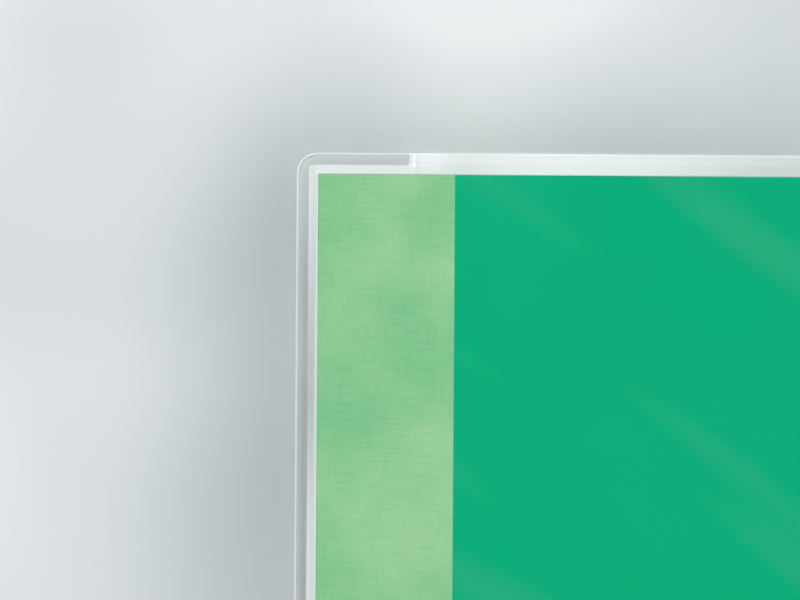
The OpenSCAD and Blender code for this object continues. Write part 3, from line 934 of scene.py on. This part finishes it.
def leaf_strips(k):
    """Flat grids on both pages: rows across the page, columns from the glued edge to the cut edge."""
    low, high = corners(f"leaf_{k}_strips")
    card_low, card_high = corners(f"leaf_{k}_card")
    x = np.linspace(low[0], high[0], 9)[:, None]
    grids, hazes = [], []
    for page, level in ((-1, (low[2] + card_low[2]) / 2), (1, (high[2] + card_high[2]) / 2)):
        lift = page * strip_lift * (strip_rise[::-page] - 0.5)
        for i in range(strip_count):
            y = low[1] + i * strip_pitch + strip_rise * (strip_pitch - strip_gap)
            grids.append(points_of(x, y[::-page], level + lift))
            hazes.append(strip_haze[::-page] + 0 * x)
    piece = surface(f"leaf_{k}_clear_strips", grids, haze=hazes)
    dress(piece, strip_film, strip_wall, 0.0)
    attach(piece, f"leaf_{k}")
    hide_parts(f"leaf_{k}_strips")


for k in range(1, leaf_count + 1):
    leaf_strips(k)

# %% [markdown]
# ## Back of the block
# The block's back has a gauze lining that turns onto the lower joint, and a headband at each end. The
# lining is a sheet along an L-shaped line. A headband is a column whose radius swells at each turn of silk,
# with its flat tongue glued to the lining, and both are columns with a superellipse section.

# %% Gauze and headbands
def gauze_lining():
    """Sheet along a line that runs over the lower joint, turns a quarter circle and climbs the back."""
    low, high = corners("mull")
    thick = corners("guards")[0][2] - low[2]
    middle_x, foot = high[0] - thick / 2, 0.4 * MM
    level = low[2] + thick / 2
    run = np.linspace(low[0], middle_x - foot, 8)[:-1]
    climb = np.linspace(level + foot, high[2], 14)[1:]
    x = np.concatenate([run, middle_x - foot + foot * quarter_on, 0 * climb + middle_x])
    z = np.concatenate([0 * run + level, level + foot * quarter_up, climb])
    y = np.linspace(low[1], high[1], 61)
    grid = points_of(x[:, None], y, z[:, None])
    threads = points_of(run_length(x, z)[:, None], y, 0)
    piece = surface("gauze_lining", [grid], threads=[threads])
    dress(piece, gauze, 0.85 * thick, 0.0)
    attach(piece, "lower_cover")
    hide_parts("mull")


ring_points = 24


def column(x, y, half_x, half_y, power, levels, swell):
    """Rings up a column: centre plus half sizes times a superellipse of this power, swollen ring by ring."""
    ring_x, ring_y = oval(np.linspace(0, 2 * np.pi, ring_points, endpoint=False), power)
    px = x + half_x * swell[:, None] * ring_x[::-1]
    py = y + half_y * swell[:, None] * ring_y[::-1]
    return points_of(px, py, levels[:, None])


def silk_headbands():
    """Two wound beads and their tongues: a bead's radius dips to 0.93 of its own between turns of silk."""
    low, high = corners("headbands")
    silk_pitch, band_turns, steps = 0.45 * MM, 4, 6
    least_r = 0.93
    radius = (high[0] - low[0]) / 2
    levels = spread([low[2], high[2]], [round((high[2] - low[2]) / silk_pitch) * steps])
    turn = (levels - low[2]) / silk_pitch
    swell = mix(least_r, 1, np.abs(np.sin(np.pi * turn)))
    swell = swell * np.sqrt(np.clip(np.minimum(turn, turn[-1] - turn), 0, 1))
    stripe = np.floor(turn / band_turns) % 2
    tongue_rise = levels[[0, 0, steps, -steps, -1, -1]]
    tongue_swell = np.array([0, 1, 1, 1, 1, 0])
    half_t, half_l = 0.1 * MM, 4 * MM
    tongue_x, tongue_y = high[0] - 1.2 * half_t, high[1] - radius - half_l
    grids, stripes = [], []
    for end in (-1, 1):
        grids.append(column(low[0] + radius, end * (high[1] - radius), radius, radius, 2, levels, swell))
        grids.append(column(tongue_x, end * tongue_y, half_t, half_l, 8, tongue_rise, tongue_swell))
        stripes.append(stripe[:, None] + np.zeros(ring_points))
        stripes.append(np.ones((len(tongue_rise), ring_points)))
    piece = surface("silk_headbands", grids, ring=True, stripe=stripes)
    dress(piece, headband_silk)
    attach(piece, "lower_cover")
    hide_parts("headbands")


gauze_lining()
silk_headbands()

# %% [markdown]
# ## Solids that stay
# Boards, card leaves, guards, pasted endpapers and the sewing thread have the right shape already, so their
# solids stay and only take the finish of the real material.

# %% Finish the solids that stay
finishes = {"lower_board": grey_board, "upper_board": grey_board, "spine_board": grey_board,
            "lower_pastedown": endpaper, "upper_pastedown": endpaper, "guards": leaf_card,
            "binding_thread": sewing_thread}
finishes.update({f"leaf_{k}_card": leaf_card for k in range(1, leaf_count + 1)})
for node, finish in finishes.items():
    solid = frame["nodes"][node].data
    solid.materials.clear()
    solid.materials.append(finish)
print("solids that stay:", len(finishes))

# %% [markdown]
# ## Floor and light
# The album lies on a pale floor with soft blue-grey clouds, which are painted shadow and painted reflection.
# One wide noise gives them, and it starts where they fall roughly as in the photo, so that the darker clouds
# lie near the album as its painted shadow. The light is soft: a large lamp on the fore-edge side at the head
# lights the sloped film and the seam, a weaker one fills from the other side, and an even pale sky does the
# rest.
# The levels add up to about one on a flat face, so a colour renders as it is written.

# %% Floor, lamps and sky
floor_level, floor_points = -0.2 * MM, 48
floor_rings = np.array([0.0, 0.3, 1.0, 6.0])[:, None]
floor_angle = np.linspace(0, 2 * np.pi, floor_points, endpoint=False)
floor_x, floor_y = floor_rings * np.cos(floor_angle), floor_rings * np.sin(floor_angle)
floor = surface("floor", [points_of(floor_x, floor_y, floor_level)], ring=True)
floor_paint, floor_tree = blank("pale_floor_paint")
cloud_size, painted_shade_start = 100 * MM, (36.35, 28.75, 0)
cloud_from, cloud_to = 0.2, 0.64
floor_place = add(floor_tree, "TexCoord", out="Object")
cloud_scale = (1 / cloud_size, 1 / cloud_size, 0)
# The noise's start puts the darker clouds near the album as a painted shadow; elsewhere the clouds are
# painted reflection
cloud_place = add(floor_tree, "VectorMath", {0: floor_place, 1: cloud_scale, 2: painted_shade_start},
                  operation="MULTIPLY_ADD")
painted_shade_and_sheen = add(floor_tree, "TexNoise", {"Vector": cloud_place, "Scale": 1.0, "Detail": 1.0})
floor_share = add(floor_tree, "MapRange", {0: painted_shade_and_sheen, 1: cloud_from, 2: cloud_to})
floor_colour = mix_colours(floor_tree, floor_share, linear("#AFB9BB"), linear("#EEF0F1"))
close(floor_tree, {"Base Color": floor_colour, "Roughness": 0.9, "Specular IOR Level": 0.1})
floor.data.materials.append(floor_paint)


def lamp(name, place, size, watts):
    """A square lamp at a place, turned towards the origin."""
    data = bpy.data.lights.new(name, "AREA")
    data.size = size
    data.energy = watts
    made = bpy.data.objects.new(name, data)
    bpy.context.scene.collection.objects.link(made)
    made.location = place
    made.rotation_euler = made.location.to_track_quat("Z", "Y").to_euler()


lamp("key_lamp", (-1.7, 1.8, 1.8), size=3.0, watts=106)
lamp("fill_lamp", (2.0, -1.0, 2.2), size=3.0, watts=17)
sky = bpy.data.worlds.new("pale_sky")
sky.use_nodes = True
sky.node_tree.nodes.clear()
background = add(sky.node_tree, "Background", {"Color": linear("#E6ECEE"), "Strength": 0.42})
add(sky.node_tree, "OutputWorld", {"Surface": background})
bpy.context.scene.world = sky
bpy.context.scene.view_settings.view_transform = "Standard"
print("lit by", [light.name for light in bpy.data.lights])
